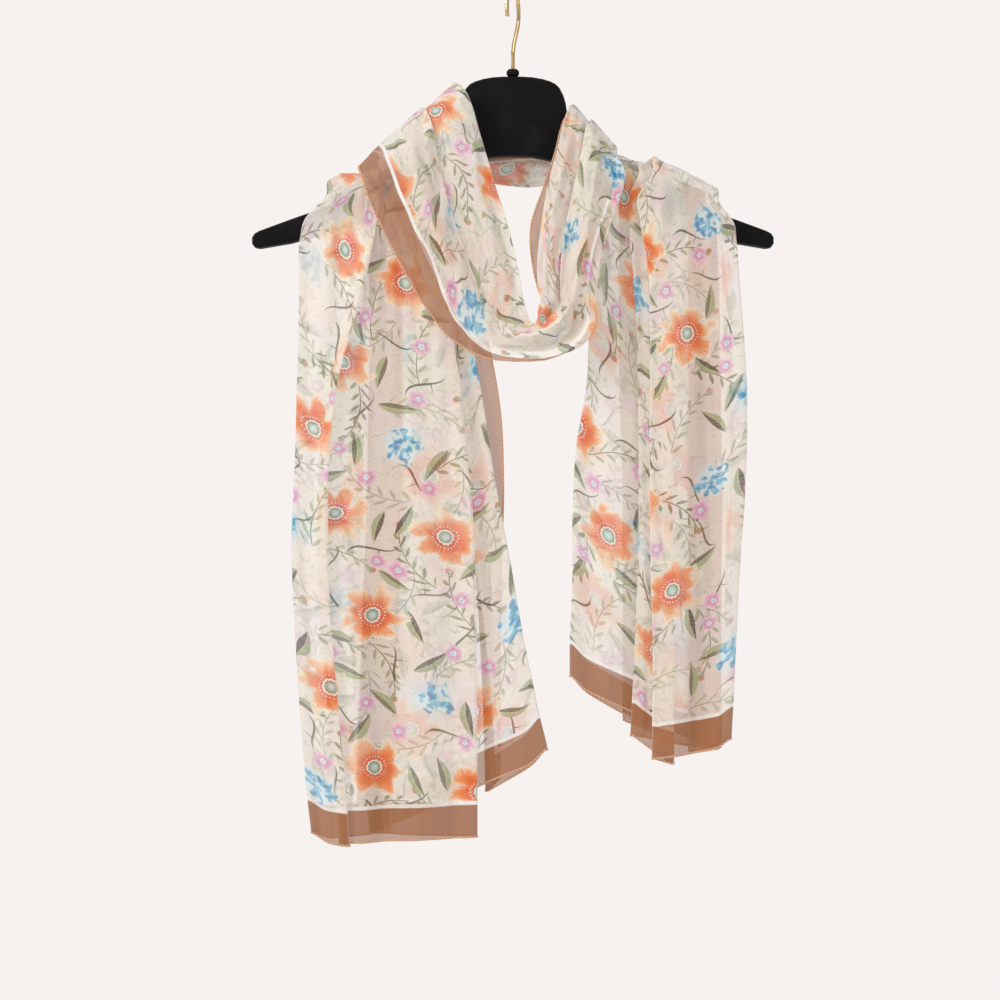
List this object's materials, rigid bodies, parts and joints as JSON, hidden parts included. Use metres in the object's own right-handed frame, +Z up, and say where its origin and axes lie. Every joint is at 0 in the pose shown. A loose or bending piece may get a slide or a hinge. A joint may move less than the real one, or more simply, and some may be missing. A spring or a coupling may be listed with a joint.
{
  "type": "chiffon scarf on hanger",
  "caption": "Long sheer printed scarf wound once round the neck of a plain black hanger, both ends hanging in pleats, with a wire hook on top.",
  "frame": {"origin": "inside of the top of the hanger's hook, where a rail or a peg carries it", "axes": "+Z up, +X to the right in the front view, -Y towards the front"},
  "size_m": [0.422, 0.0931, 0.6961],
  "materials": {
    "chiffon": "sheer matt chiffon, cream ground with a flower print and a brown border",
    "hanger_black": "matt black moulded plastic",
    "hook_gold": "bright gold-coloured wire"
  },
  "bodies": {
    "root": {"left_tail": "chiffon", "neck_turn_inner": "chiffon", "front_cowl": "chiffon", "neck_turn_outer": "chiffon", "right_tail": "chiffon", "hanger_body": "hanger_black", "hanger_collar": "hanger_black", "hanger_hook": "hook_gold"}
  },
  "joints": []
}
